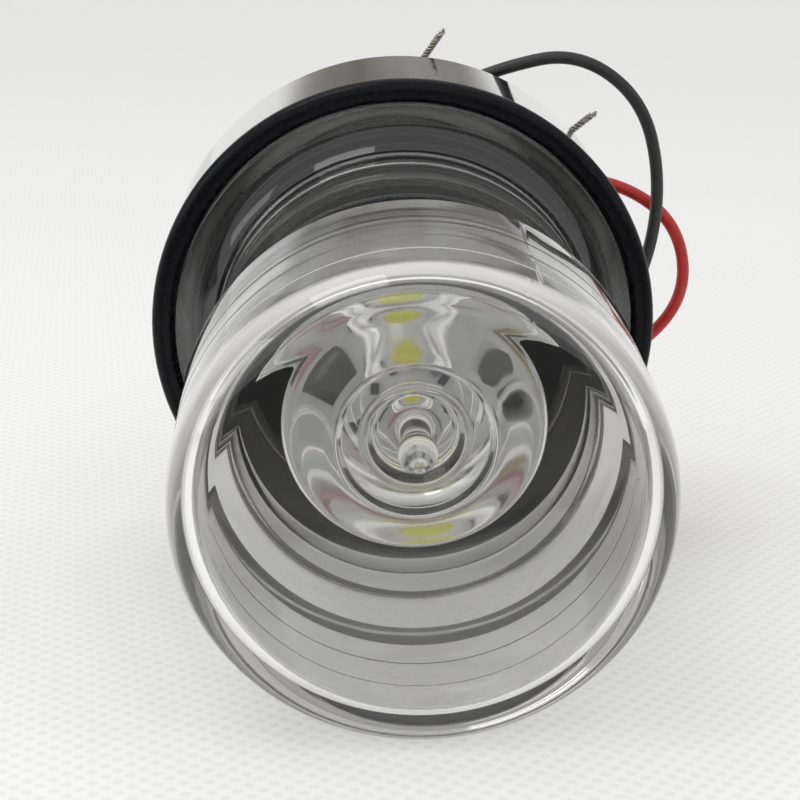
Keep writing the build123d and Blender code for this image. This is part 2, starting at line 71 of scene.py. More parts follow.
camera_data = bpy.data.cameras.new("camera")
camera_data.lens = CAMERA_LENS
camera_data.sensor_width = 36.0
camera_data.clip_start = 0.01
camera_data.clip_end = 20.0
camera = bpy.data.objects.new("camera", camera_data)
bpy.context.scene.collection.objects.link(camera)
look = (CAMERA_AIM - CAMERA_PLACE).to_track_quat("-Z", "Y").to_matrix().to_4x4()
camera.matrix_world = Matrix.Translation(CAMERA_PLACE) @ look @ Matrix.Rotation(CAMERA_ROLL, 4, "Z")
bpy.context.scene.camera = camera
bpy.context.scene.view_settings.view_transform = "Standard"
for limit in ("max_bounces", "glossy_bounces", "transmission_bounces"):
    setattr(bpy.context.scene.cycles, limit, 24)
print("camera is", round((CAMERA_AIM - CAMERA_PLACE).length, 3), "m from its aim")

# %% [markdown]
# ## The two leads
# Each lead is one smooth curve with a round bevel. A NURBS curve of order three passes near its
# control points and never kinks, which is how thin hook-up wire bends. The points are the same
# as the CAD tube's, in metres.

# %% Leads
LEAD_D = 1.6 * MM
CORE_D = 0.9 * MM
CORE_L = 7.2 * MM
BLACK_ROUTE = [
    (-2.2, -0.8, 0.0),
    (-2.2, 6.4, 0.0),
    (-5.8, 11.6, -5.6),
    (-2.6, 12.0, -14.4),
    (7.4, 9.8, -19.6),
    (18.6, 8.2, -17.5),
    (28.2, 6.8, -10.2),
    (32.9, 5.2, 0.9),
    (33.8, 4.2, 12.5),
    (30.8, 3.8, 23.2),
    (22.2, 3.6, 29.2),
    (12.6, 4.0, 27.0),
    (5.2, 4.8, 23.4),
    (0.8, 5.4, 17.6),
    (1.6, 5.9, 10.8),
    (7.2, 6.0, 7.8),
    (13.4, 5.6, 11.6),
    (19.6, 5.0, 16.8),
]
RED_ROUTE = [
    (2.2, -0.8, 0.0),
    (2.2, 7.6, 0.0),
    (7.6, 14.2, 4.4),
    (18.5, 13.2, 11.1),
    (29.5, 9.2, 11.0),
    (37.0, 7.0, 5.8),
    (38.7, 7.6, -4.2),
    (32.8, 10.2, -12.8),
    (21.5, 13.6, -20.2),
    (8.0, 15.0, -23.4),
    (-6.5, 15.6, -18.4),
    (-14.2, 14.0, -6.0),
    (-12.0, 11.2, 7.2),
    (-4.4, 8.6, 16.2),
    (1.7, 5.4, 26.0),
]


def new_mesh_piece(name, points, faces):
    """Puts arrays of points (metres) and faces into one mesh object at the origin."""
    mesh = bpy.data.meshes.new(name)
    mesh.from_pydata(np.asarray(points).tolist(), [], [list(f) for f in faces])
    mesh.update()
    piece = bpy.data.objects.new(name, mesh)
    bpy.context.scene.collection.objects.link(piece)
    return piece


def smooth(piece, sharp=35.0):
    """Merges doubles, turns the faces outwards and smooths all edges flatter than sharp degrees."""
    work = bmesh.new()
    work.from_mesh(piece.data)
    bmesh.ops.remove_doubles(work, verts=work.verts, dist=1e-7)
    bmesh.ops.recalc_face_normals(work, faces=work.faces)
    work.to_mesh(piece.data)
    work.free()
    piece.data.shade_smooth()
    piece.data.set_sharp_from_angle(angle=math.radians(sharp))
    return piece


def lead_curve(name, route):
    """One open NURBS spline of order three through the route's control points."""
    data = bpy.data.curves.new(name, "CURVE")
    data.dimensions = "3D"
    spline = data.splines.new("NURBS")
    spline.points.add(len(route) - 1)
    spline.points.foreach_set("co", np.c_[np.array(route) * MM, np.ones(len(route))].ravel())
    spline.points.foreach_set("radius", np.full(len(route), LEAD_D / 2))
    spline.order_u = 3
    spline.use_endpoint_u = True
    spline.resolution_u = 10
    data.bevel_depth = 1.0  # times each point's radius
    data.bevel_resolution = 5
    data.use_fill_caps = True
    piece = bpy.data.objects.new(name, data)
    bpy.context.scene.collection.objects.link(piece)
    return piece


def spline_length(piece):
    """The length of the curve's own line, read from it with its bevel off."""
    depth, piece.data.bevel_depth = piece.data.bevel_depth, 0.0
    line = bpy.data.meshes.new_from_object(piece.evaluated_get(bpy.context.evaluated_depsgraph_get()))
    piece.data.bevel_depth = depth
    points = np.array([v.co for v in line.vertices])
    bpy.data.meshes.remove(line)
    return float(np.linalg.norm(np.diff(points, axis=0), axis=1).sum())


STRANDS = 7
STRAND_R = 0.16 * MM


def twisted_core(name, route, turns=3.2):
    """The bare end: strands wound round a straight line that leaves the route's last point.
    Strand k at s along the line is off it by R (cos, sin)(2 pi (turns s + k / n)), and each is a
    tube: a ring of points round that helix. The first strand is the straight middle one."""
    tip = np.array(route[-1]) * MM
    way = tip - np.array(route[-2]) * MM
    way /= np.linalg.norm(way)
    side = np.cross(way, (0.0, 0.0, 1.0))
    side /= np.linalg.norm(side)
    over = np.cross(way, side)
    rings, sides = 40, 8
    s = np.linspace(0, 1, rings)
    around = np.linspace(0, 2 * np.pi, sides, endpoint=False)
    points, faces = [], []
    for k in range(STRANDS):
        off = 0.0 if k == 0 else CORE_D / 2 - STRAND_R
        length = CORE_L * (1 - 0.035 * k)
        angle = 2 * np.pi * (turns * s + k / (STRANDS - 1))
        line = tip + np.outer(s * length, way)
        line = line + off * (np.outer(np.cos(angle), side) + np.outer(np.sin(angle), over))
        ring = STRAND_R * (np.outer(np.cos(around), side) + np.outer(np.sin(around), over))
        first = len(points) * rings * sides
        points.append((line[:, None] + ring[None]).reshape(-1, 3))
        i, j = np.meshgrid(np.arange(rings - 1), np.arange(sides), indexing="ij")
        a, b = first + i * sides + j, first + i * sides + (j + 1) % sides
        faces += np.stack([a, b, b + sides, a + sides], -1).reshape(-1, 4).tolist()
        faces.append([first + n for n in range(sides)])
        faces.append([first + (rings - 1) * sides + n for n in range(sides)][::-1])
    return smooth(new_mesh_piece(name, np.concatenate(points), faces), 60)


leads = {}
for colour, route, node_x in (("black", BLACK_ROUTE, -2.2), ("red", RED_ROUTE, 2.2)):
    lead = lead_curve(f"{colour}_lead", route)
    core = twisted_core(f"{colour}_bare_end", route)
    for piece, node in ((lead, f"lead_{colour}"), (core, f"lead_end_{colour}")):
        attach(piece, "base")
        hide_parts(node)
    length = spline_length(lead)
    leads[colour] = (lead, core)
    print(colour, "lead is", round(length * 1000, 1), "mm long")

# %% [markdown]
# ## Floor and light
# The lamp rests on its collar and on the front of its head, so the floor is the plane that
# touches both circles. A white sheet, a pale room that is greyer behind than overhead, one big
# soft lamp above and a smaller one from the left are all that clear plastic needs: it shows what
# is around it, so what is around it has to be simple.

# %% Floor, room and lamps
COLLAR_R, COLLAR_H = 30.0, 18.2
HEAD_R, HEAD_FRONT_H = 24.4, 72.0
FLOOR_SLOPE = (COLLAR_R - HEAD_R) / (HEAD_FRONT_H - COLLAR_H)
FLOOR_GAP = 0.15
FLOOR_HALF = 3000.0


def floor_height(y):
    """The floor's height in mm at y mm: a straight line under the collar and the head."""
    return -(COLLAR_R + FLOOR_GAP) - FLOOR_SLOPE * (y + COLLAR_H)


ends = [(x * FLOOR_HALF, y * FLOOR_HALF) for x, y in ((-1, -1), (1, -1), (1, 1), (-1, 1))]
corners = [(x, y, floor_height(y)) for x, y in ends]
floor = new_mesh_piece("floor", np.array(corners) * MM, [(0, 1, 2, 3)])


def new_material(name):
    """An empty node material with its output, as (material, nodes, links, output)."""
    made = bpy.data.materials.new(name)
    made.use_nodes = True
    tree = made.node_tree
    tree.nodes.clear()
    return made, tree.nodes, tree.links, tree.nodes.new("ShaderNodeOutputMaterial")


def noise(nodes, links, scale, detail=4.0, stretch=(1, 1, 1)):
    """Noise on the piece's own Object coordinates, finer along an axis with a larger stretch."""
    place = nodes.new("ShaderNodeTexCoord")
    mapping = nodes.new("ShaderNodeMapping")
    mapping.inputs["Scale"].default_value = stretch
    pattern = nodes.new("ShaderNodeTexNoise")
    pattern.inputs["Scale"].default_value = scale
    pattern.inputs["Detail"].default_value = detail
    links.new(place.outputs["Object"], mapping.inputs["Vector"])
    links.new(mapping.outputs["Vector"], pattern.inputs["Vector"])
    return pattern


def ramp(nodes, links, source, low, high, at=(0.35, 0.65)):
    """A two-stop colour ramp of a pattern, from low to high (numbers or colours)."""
    stops = nodes.new("ShaderNodeValToRGB")
    for stop, value, place in zip(stops.color_ramp.elements, (low, high), at):
        colour = (value,) * 3 if isinstance(value, float) else value
        stop.color = (*colour, 1.0)
        stop.position = place
    links.new(source, stops.inputs["Fac"])
    return stops.outputs["Color"]


def bump(nodes, links, source, shader, strength, distance):
    """A bump of that many metres, from a pattern into a shader's normal."""
    lift = nodes.new("ShaderNodeBump")
    lift.inputs["Strength"].default_value = strength
    lift.inputs["Distance"].default_value = distance
    links.new(source, lift.inputs["Height"])
    links.new(lift.outputs["Normal"], shader.inputs["Normal"])
    return lift


def surface(name, low, high, rough, scale=400.0, metal=0.0, lift=0.000004, gloss=0.5, coat=0.0):
    """A solid finish: noise mixes two close colours, varies the roughness and lifts the surface."""
    made, nodes, links, output = new_material(name)
    shader = nodes.new("ShaderNodeBsdfPrincipled")
    shader.inputs["Metallic"].default_value = metal
    shader.inputs["Specular IOR Level"].default_value = gloss
    shader.inputs["Coat Weight"].default_value = coat
    shader.inputs["Coat Roughness"].default_value = 0.05
    pattern = noise(nodes, links, scale)
    links.new(ramp(nodes, links, pattern.outputs["Fac"], low, high), shader.inputs["Base Color"])
    links.new(ramp(nodes, links, pattern.outputs["Fac"], rough[0], rough[1]), shader.inputs["Roughness"])
    bump(nodes, links, pattern.outputs["Fac"], shader, 0.5, lift)
    links.new(shader.outputs["BSDF"], output.inputs["Surface"])
    return made


# Painted shadow: a little way in front of the lens the sheet turns dark for every ray but the camera's,
# standing for shade cast from the camera's side; reflections in the lens and collar show it.
PAINTED_SHADOW_EDGE = (-0.125, -0.092)
PAINTED_SHADOW_TONE = (0.10, 0.10, 0.095, 1.0)
DOT_TURN = math.radians(38)
WAVES_A_SCALE = 20


def embossed_sheet(name, pitch, low, high):
    """A plain white sheet with soft pressed dots, the product of two Wave textures at right
    angles. The camera sees it pale everywhere. Reflections and other rays see the pale sheet end in front of
    the lens, in a painted shadow."""
    made, nodes, links, output = new_material(name)
    shader = nodes.new("ShaderNodeBsdfPrincipled")
    shader.inputs["Roughness"].default_value = 0.8
    place = nodes.new("ShaderNodeTexCoord")
    product = nodes.new("ShaderNodeMath")
    product.operation = "MULTIPLY"
    for port, turn in enumerate((DOT_TURN, DOT_TURN + math.pi / 2)):
        mapping = nodes.new("ShaderNodeMapping")
        mapping.inputs["Rotation"].default_value = (0, 0, turn)
        wave = nodes.new("ShaderNodeTexWave")
        wave.inputs["Scale"].default_value = 2 * math.pi / (WAVES_A_SCALE * pitch * MM)
        wave.inputs["Distortion"].default_value = 0.6
        links.new(place.outputs["Object"], mapping.inputs["Vector"])
        links.new(mapping.outputs["Vector"], wave.inputs["Vector"])
        links.new(wave.outputs["Fac"], product.inputs[port])
    split = nodes.new("ShaderNodeSeparateXYZ")
    edge = nodes.new("ShaderNodeMapRange")
    edge.inputs["From Min"].default_value, edge.inputs["From Max"].default_value = PAINTED_SHADOW_EDGE
    painted_shadow_mix = nodes.new("ShaderNodeMix")
    painted_shadow_mix.data_type = "RGBA"
    painted_shadow_mix.inputs["A"].default_value = PAINTED_SHADOW_TONE
    links.new(place.outputs["Object"], split.inputs["Vector"])
    links.new(split.outputs["Y"], edge.inputs["Value"])
    # Camera rays always see the pale sheet; all other rays see the painted shadow in front of the lens.
    path, pale = nodes.new("ShaderNodeLightPath"), nodes.new("ShaderNodeMath")
    pale.operation = "MAXIMUM"
    links.new(edge.outputs["Result"], pale.inputs[0])
    links.new(path.outputs["Is Camera Ray"], pale.inputs[1])
    links.new(pale.outputs["Value"], painted_shadow_mix.inputs["Factor"])
    links.new(ramp(nodes, links, product.outputs["Value"], low, high, (0.1, 0.55)), painted_shadow_mix.inputs["B"])
    links.new(painted_shadow_mix.outputs["Result"], shader.inputs["Base Color"])
    bump(nodes, links, product.outputs["Value"], shader, 0.25, 0.0001)
    links.new(shader.outputs["BSDF"], output.inputs["Surface"])
    return made


floor.data.materials.append(embossed_sheet("white_sheet", 1.7, (0.96, 0.96, 0.955), (0.89, 0.89, 0.88)))

WHITE_ROOM, LOW_HAZE = (0.96, 0.96, 0.965), (0.92, 0.92, 0.92)
DIM_ROOM, DARK_ROOM = (0.33, 0.325, 0.305), (0.19, 0.175, 0.15)
world = bpy.data.worlds.new("room")
world.use_nodes = True
bpy.context.scene.world = world
room, room_links = world.node_tree.nodes, world.node_tree.links
room.clear()
direction = room.new("ShaderNodeTexCoord")
split = room.new("ShaderNodeSeparateXYZ")
room_links.new(direction.outputs["Generated"], split.inputs["Vector"])


def room_ramp(source, *stops):
    """A ramp over a number, of any count of (place, colour) stops, blended smoothly."""
    made = room.new("ShaderNodeValToRGB")
    made.color_ramp.interpolation = "EASE"
    elements = made.color_ramp.elements
    while len(elements) < len(stops):
        elements.new(0.5)
    for element, (place, colour) in zip(elements, stops):
        element.position = place
        element.color = (*colour, 1.0)
    room_links.new(source, made.inputs["Fac"])
    return made.outputs["Color"]


def room_mix(share, first, second):
    """Blends two colours of the room by a share."""
    made = room.new("ShaderNodeMix")
    made.data_type = "RGBA"
    room_links.new(share, made.inputs["Factor"])
    room_links.new(first, made.inputs["A"])
    room_links.new(second, made.inputs["B"])
    return made.outputs["Result"]


clutter = room.new("ShaderNodeTexNoise")
clutter.inputs["Scale"].default_value = 3.2
clutter.inputs["Detail"].default_value = 3.0
room_links.new(direction.outputs["Generated"], clutter.inputs["Vector"])
wall = room_ramp(clutter.outputs["Fac"], (0.38, DARK_ROOM), (0.52, DIM_ROOM), (0.66, (0.42, 0.42, 0.42)))
sheet = room_ramp(split.outputs["Z"], (0.0, LOW_HAZE), (1.0, WHITE_ROOM))
wall_share = room_ramp(
    split.outputs["Z"], (0.07, (0, 0, 0)), (0.14, (1, 1, 1)), (0.50, (1, 1, 1)), (0.74, (0, 0, 0))
)
back_share = room_ramp(split.outputs["Y"], (0.10, (0, 0, 0)), (0.45, (1, 1, 1)))
both = room.new("ShaderNodeMath")
both.operation = "MULTIPLY"
room_links.new(wall_share, both.inputs[0])
room_links.new(back_share, both.inputs[1])
sky = room.new("ShaderNodeBackground")
room_out = room.new("ShaderNodeOutputWorld")
room_links.new(room_mix(both.outputs["Value"], sheet, wall), sky.inputs["Color"])
room_links.new(sky.outputs["Background"], room_out.inputs["Surface"])


def soft_lamp(name, place, aim, width, height, watts):
    """A rectangular area lamp at a place, turned to its aim, both in millimetres."""
    data = bpy.data.lights.new(name, "AREA")
    data.shape = "RECTANGLE"
    data.size, data.size_y = width * MM, height * MM
    data.energy = watts
    lamp = bpy.data.objects.new(name, data)
    bpy.context.scene.collection.objects.link(lamp)
    turn = (Vector(aim) - Vector(place)).to_track_quat("-Z", "Y").to_matrix().to_4x4()
    lamp.matrix_world = Matrix.Translation(Vector(place) * MM) @ turn
    return lamp


soft_lamp("overhead_softbox", (-230, -40, 560), (0, -30, 0), 300, 260, 0.60)
soft_lamp("left_softbox", (-560, -220, 260), (0, -30, 0), 260, 260, 0.36)
print("floor rises", round(FLOOR_SLOPE, 3), "mm a mm towards the lens")

# %% [markdown]
# ## Turning profiles
# A profile is a list of corners (radius, height above the mounting face, corner radius). Each
# corner with a radius becomes an arc tangent to both of its runs, so one short list draws the
# whole section with its mould rounds. Turning it round the Y axis is a grid: the point at
# profile place i and angle a is (r cos a, -h, r sin a).

# %% Profiles and turned pieces
EVEN_TURNS = np.linspace(0, 2 * np.pi, 192, endpoint=False)


def rounded(corners, closed=True, arc_points=9):
    """The outline with its corners rounded: at a corner of radius q between unit directions u
    and v that turn by t, the arc starts q tan(t / 2) before the corner and ends as far after it,
    about a centre q / cos(t / 2) away along the inner bisector."""
    made, count = [], len(corners)
    for i, (r, h, q) in enumerate(corners):
        here = np.array((r, h), float)
        if q <= 0 or (not closed and i in (0, count - 1)):
            made.append(here)
            continue
        u = here - np.array(corners[i - 1][:2], float)
        v = np.array(corners[(i + 1) % count][:2], float) - here
        u, v = u / np.linalg.norm(u), v / np.linalg.norm(v)
        turn = math.acos(float(np.clip(u @ v, -1, 1)))
        back = q * math.tan(turn / 2)
        inward = (v - u) / np.linalg.norm(v - u)
        centre = here + inward * q / math.cos(turn / 2)
        start, end = here - u * back - centre, here + v * back - centre
        share = np.linspace(0, 1, arc_points)[:, None]
        arc = (np.sin((1 - share) * turn) * start + np.sin(share * turn) * end) / math.sin(turn)
        made += list(centre + arc)
    return np.array(made)


def turned(name, outline, closed=True, angle=EVEN_TURNS, sharp=35.0):
    """Turns an outline of (radius, height) in mm round the lamp's axis into a closed surface.
    A closed outline makes a ring; an open one starts and ends on the axis and makes a solid."""
    outline = np.asarray(outline) * MM
    segments = len(angle)
    r, h = outline[:, :1], outline[:, 1:]
    points = np.stack([r * np.cos(angle), -h + 0 * angle, r * np.sin(angle)], -1).reshape(-1, 3)
    rows = len(outline)
    i, j = np.meshgrid(np.arange(rows if closed else rows - 1), np.arange(segments), indexing="ij")
    a, b = i * segments + j, i * segments + (j + 1) % segments
    c, d = ((i + 1) % rows) * segments + (j + 1) % segments, ((i + 1) % rows) * segments + j
    return smooth(new_mesh_piece(name, points, np.stack([a, b, c, d], -1).reshape(-1, 4)), sharp)


def stands_for(piece, material, slot, body="base", *nodes):
    """Gives a piece its material, rides it on a body and hides the nodes it replaces. The slot is not used.
    """
    piece.data.materials.clear()
    piece.data.materials.append(material)
    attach(piece, body)
    if nodes:
        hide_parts(*nodes)
    return piece


def depth(node):
    """(lowest, highest) height of a CAD node above the mounting face, in mm."""
    low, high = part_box(node)
    return -high.y / MM, -low.y / MM


def half_width(node):
    """The largest radius of a round CAD node, in mm."""
    low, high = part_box(node)
    return (high.x - low.x) / 2 / MM


print("the lens runs from", [round(v, 2) for v in depth("lens_jar")], "mm above the face")

# %% [markdown]
# ## Clear plastics
# Polycarbonate bends light a little more than acrylic. A real path tracer finds little light by
# way of refraction alone, so rays on their way to a lamp pass straight through: a Light Path
# node swaps the glass for a faintly tinted Transparent shader for them. A moulded surface is not
# perfectly flat either, so a very shallow bump makes the reflections wander. The glass keeps its
# tint only until a ray meets a diffuse surface; in the bore that tint is dark grey, painted shade
# for the shadowed floor seen through it. Light that bounces on and on inside a wall would end in
# the black collar, so each bounce mixes in some pale emission: a painted glow, stronger in the
# head than below the shoulder, that stands in for the scatter in real plastic, not a measured
# value.

# %% Clear plastics
# Painted glow: the colour of the pale emission in the clear plastics, the height band over which it grows,
# and its largest share.
PAINTED_GLOW_COLOUR = (1.0, 0.99, 0.97, 1.0)
PAINTED_GLOW_BAND = (-0.051, -0.056)
MOST_PAINTED_GLOW = 0.85
SHADOW_TINT = (0.84, 0.84, 0.84, 1.0)


def clear_plastic(name, ior, tint_and_shade, waves, rough=(0.0, 0.02), grain=(1, 1, 1), painted_glow=(0.06, 0.72, 0.22)):
    """Glass by a Principled shader, let through for shadow rays. tint_and_shade colours the glass
    only until a ray has met a diffuse surface. The waves are a pattern's scale and height. Light
    that is trapped inside meets a painted glow, an emission: its brightness below and above the
    shoulder, and its share at each bounce after the first."""
    made, nodes, links, output = new_material(name)
    glass = nodes.new("ShaderNodeBsdfPrincipled")
    glass.inputs["Transmission Weight"].default_value = 1.0
    glass.inputs["IOR"].default_value = ior
    wander = noise(nodes, links, waves[0], 3.0, stretch=grain)
    links.new(ramp(nodes, links, wander.outputs["Fac"], rough[0], rough[1]), glass.inputs["Roughness"])
    bump(nodes, links, wander.outputs["Fac"], glass, 0.6, waves[1])
    # Until a ray meets a diffuse surface the glass carries the tint, which for the bore is painted shade.
    path = nodes.new("ShaderNodeLightPath")
    shade = nodes.new("ShaderNodeMix")
    shade.data_type = "RGBA"
    shade.clamp_factor = True
    shade.inputs["A"].default_value = (*tint_and_shade, 1.0)
    shade.inputs["B"].default_value = (1.0, 1.0, 1.0, 1.0)
    links.new(path.outputs["Diffuse Depth"], shade.inputs["Factor"])
    links.new(shade.outputs["Result"], glass.inputs["Base Color"])
    bounced = nodes.new("ShaderNodeMath")
    bounced.operation = "MULTIPLY_ADD"
    bounced.inputs[1].default_value, bounced.inputs[2].default_value = painted_glow[2], -painted_glow[2]
    glow_share = nodes.new("ShaderNodeClamp")
    glow_share.inputs["Max"].default_value = MOST_PAINTED_GLOW
    glow = nodes.new("ShaderNodeEmission")
    glow.inputs["Color"].default_value = PAINTED_GLOW_COLOUR
    place, split = nodes.new("ShaderNodeTexCoord"), nodes.new("ShaderNodeSeparateXYZ")
    level = nodes.new("ShaderNodeMapRange")
    level.inputs["From Min"].default_value, level.inputs["From Max"].default_value = PAINTED_GLOW_BAND
    level.inputs["To Min"].default_value, level.inputs["To Max"].default_value = painted_glow[0], painted_glow[1]
    links.new(place.outputs["Object"], split.inputs["Vector"])
    links.new(split.outputs["Y"], level.inputs["Value"])
    links.new(level.outputs["Result"], glow.inputs["Strength"])
    through = nodes.new("ShaderNodeBsdfTransparent")
    through.inputs["Color"].default_value = SHADOW_TINT
    glow_mixed, mix = nodes.new("ShaderNodeMixShader"), nodes.new("ShaderNodeMixShader")
    links.new(path.outputs["Glossy Depth"], bounced.inputs[0])
    links.new(bounced.outputs["Value"], glow_share.inputs["Value"])
    links.new(glow_share.outputs["Result"], glow_mixed.inputs["Fac"])
    links.new(glass.outputs["BSDF"], glow_mixed.inputs[1])
    links.new(glow.outputs["Emission"], glow_mixed.inputs[2])
    links.new(path.outputs["Is Shadow Ray"], mix.inputs["Fac"])
    links.new(glow_mixed.outputs["Shader"], mix.inputs[1])
    links.new(through.outputs["BSDF"], mix.inputs[2])
    links.new(mix.outputs["Shader"], output.inputs["Surface"])
    return made


LENS_CLEAR = clear_plastic(
    "lens_polycarbonate", 1.585, (0.985, 0.985, 0.975), (700.0, 0.0000015), grain=(0.03, 1.0, 0.03)
)
# Painted shade: the bore's dark grey tint darkens the view through the lens as if the floor under the lamp
# lay in shadow.
BORE_PAINTED_SHADE = clear_plastic("lens_bore_painted_shade", 1.585, (0.48, 0.475, 0.445), (140.0, 0.00004), rough=(0.04, 0.12))
# The optic's painted glow is equally bright at every height.
OPTIC_CLEAR = clear_plastic(
    "optic_acrylic", 1.49, (0.99, 0.995, 0.99), (90.0, 0.00003), rough=(0.04, 0.1), painted_glow=(0.7, 0.7, 0.3)
)
print("clear plastics:", LENS_CLEAR.name, OPTIC_CLEAR.name)

# %% [markdown]
# ## The lens jar
# One closed skin, from the middle of the front over the head, shoulder, neck and flange to the
# spigot, and back up the stepped bore to the middle of the ceiling. The head carries three
# hair-fine rings left by the tool, which show as thin bright lines, and the neck two shallow
# grooves. A broken mould seam runs along the outside, up and to the right of the axis.

# %% Lens jar
LENS_FOOT_H, LENS_FRONT_H = depth("lens_jar")
FLANGE_R = half_width("lens_jar")
NECK_R, BORE_R, SPIGOT_R = 21.9, 18.8, 23.0
FLANGE_H, FLANGE_TOP_H = 17.6, 19.6
NECK_TOP_H, SHOULDER_H = 48.4, 50.9
FRONT_T = 4.2
CEILING_H = LENS_FRONT_H - FRONT_T
HEAD_BORE_R, BORE_TAPER_FOOT_H, BORE_TAPER_TOP_H = 21.5, 50.0, 57.0
HEAD_ROUND, CEILING_ROUND, TAPER_ROUND = 4.6, 1.4, 1.2
HEAD_DRAFT = 0.1
TOOL_RINGS = (59.0, 63.7, 68.2)
TOOL_RING_W, TOOL_RING_LIFT = 0.30, 0.05
GROOVES = (39.6, 43.5)
GROOVE_W, GROOVE_DEPTH = 0.9, 0.32


def lens_outline():
    """The lens's section from the axis at the front, outwards, down, and back up the bore."""
    outside = [(0, LENS_FRONT_H, 0), (HEAD_R + HEAD_DRAFT, LENS_FRONT_H, HEAD_ROUND)]
    for ring in sorted(TOOL_RINGS, reverse=True):
        radius = HEAD_R + HEAD_DRAFT * (ring - SHOULDER_H) / (LENS_FRONT_H - SHOULDER_H)
        outside += [
            (radius - TOOL_RING_LIFT, ring + TOOL_RING_W, 0.06),
            (radius, ring, 0.1),
            (radius - TOOL_RING_LIFT, ring - TOOL_RING_W, 0.06),
        ]
    outside += [(HEAD_R, SHOULDER_H, 0.35), (NECK_R, NECK_TOP_H, 2.2)]
    for groove in sorted(GROOVES, reverse=True):
        outside += [
            (NECK_R, groove + GROOVE_W / 2, 0.08),
            (NECK_R - GROOVE_DEPTH, groove + GROOVE_W / 2 - 0.1, 0.15),
            (NECK_R - GROOVE_DEPTH, groove - GROOVE_W / 2 + 0.1, 0.15),
            (NECK_R, groove - GROOVE_W / 2, 0.08),
        ]
    outside += [
        (NECK_R, FLANGE_TOP_H, 3.4),
        (FLANGE_R, FLANGE_TOP_H, 0.3),
        (FLANGE_R, FLANGE_H, 0.2),
        (SPIGOT_R, FLANGE_H, 0.2),
        (SPIGOT_R, LENS_FOOT_H, 0.4),
        (BORE_R, LENS_FOOT_H, 0.4),
        *((BORE_R, height, 0) for height in range(20, 48, 3)),
        (BORE_R, BORE_TAPER_FOOT_H, TAPER_ROUND),
        (HEAD_BORE_R, BORE_TAPER_TOP_H, TAPER_ROUND),
        (HEAD_BORE_R, CEILING_H, CEILING_ROUND),
        (0, CEILING_H, 0),
    ]
    return rounded(outside, closed=False, arc_points=11)


def raise_seam(piece, at_angle, width, lift):
    """Lifts a mould seam along the outside: a point less than width (radians) from the seam's
    angle goes outwards by lift (1 + cos) / 2 of its share of the width, broken up along it."""
    count = len(piece.data.vertices)
    points = np.empty(count * 3)
    piece.data.vertices.foreach_get("co", points)
    points = points.reshape(-1, 3)
    radius = np.hypot(points[:, 0], points[:, 2])
    off = np.abs(np.arctan2(points[:, 2], points[:, 0]) - at_angle) / width
    ridge = (1 + np.cos(np.pi * np.minimum(off, 1))) / 2
    rise = np.where((off < 1) & (radius > NECK_R * MM * 0.99), ridge, 0)
    broken = np.sin(points[:, 1] * 2600) * np.sin(points[:, 1] * 1130 + 1.0) * 0.7 + 0.3
    points[:, [0, 2]] *= (1 + rise * broken * lift * MM / np.maximum(radius, 1e-6))[:, None]
    piece.data.vertices.foreach_set("co", points.ravel())


SEAM_ANGLE, SEAM_HALF_WIDTH, SEAM_LIFT = math.radians(65), math.radians(0.7), 0.04
SEAM_ROOM = math.radians(1.3)
SEAM_TURNS = SEAM_ANGLE + np.radians(np.array([-0.9, -0.6, -0.3, 0.0, 0.3, 0.6, 0.9]))
even_turns = np.linspace(0, 2 * np.pi, 256, endpoint=False)
even_turns = even_turns[np.abs(even_turns - SEAM_ANGLE) > SEAM_ROOM]
lens = turned("clear_lens_jar", lens_outline(), False, np.sort(np.r_[even_turns, SEAM_TURNS]), 40)
raise_seam(lens, SEAM_ANGLE, SEAM_HALF_WIDTH, SEAM_LIFT)
stands_for(lens, LENS_CLEAR, "clear_lens", "lens", "lens_jar")
# The bore's faces, turned towards the axis, get the glass with the painted shade.
lens.data.materials.append(BORE_PAINTED_SHADE)
for face in lens.data.polygons:
    outward = Vector((face.center.x, 0, face.center.z)).normalized()
    face.material_index = int(face.normal.dot(outward) < -0.5)
print("lens has", len(lens.data.polygons), "faces")

# %% [markdown]
# ## The inner optic
# A clear body over the LED: a foot ring, a flared side that throws the light outwards, a domed
# top with two raised rings, and a rod on the axis with a ball for a tip.

# %% Inner optic
OPTIC_FOOT_H, OPTIC_TIP_H = depth("circuit_board")[1], depth("inner_optic")[1]
OPTIC_RIM_R = half_width("inner_optic")
OPTIC_RIM_H, OPTIC_CREST_H = 49.2, 54.0
BALL_R, ROD_R = 2.1, 1.5
POCKET_R, POCKET_H, LED_POCKET_R = 7.6, 30.9, 3.2


def arc_between(start, middle, end, count=14):
    """Points on the parabola through three points, at even steps of its parameter: the weights
    are the three Lagrange polynomials for 0, 1/2 and 1."""
    t = np.linspace(0, 1, count)[:, None]
    start, middle, end = (np.array(p, float) for p in (start, middle, end))
    return start * (1 - t) * (1 - 2 * t) + middle * 4 * t * (1 - t) + end * t * (2 * t - 1)


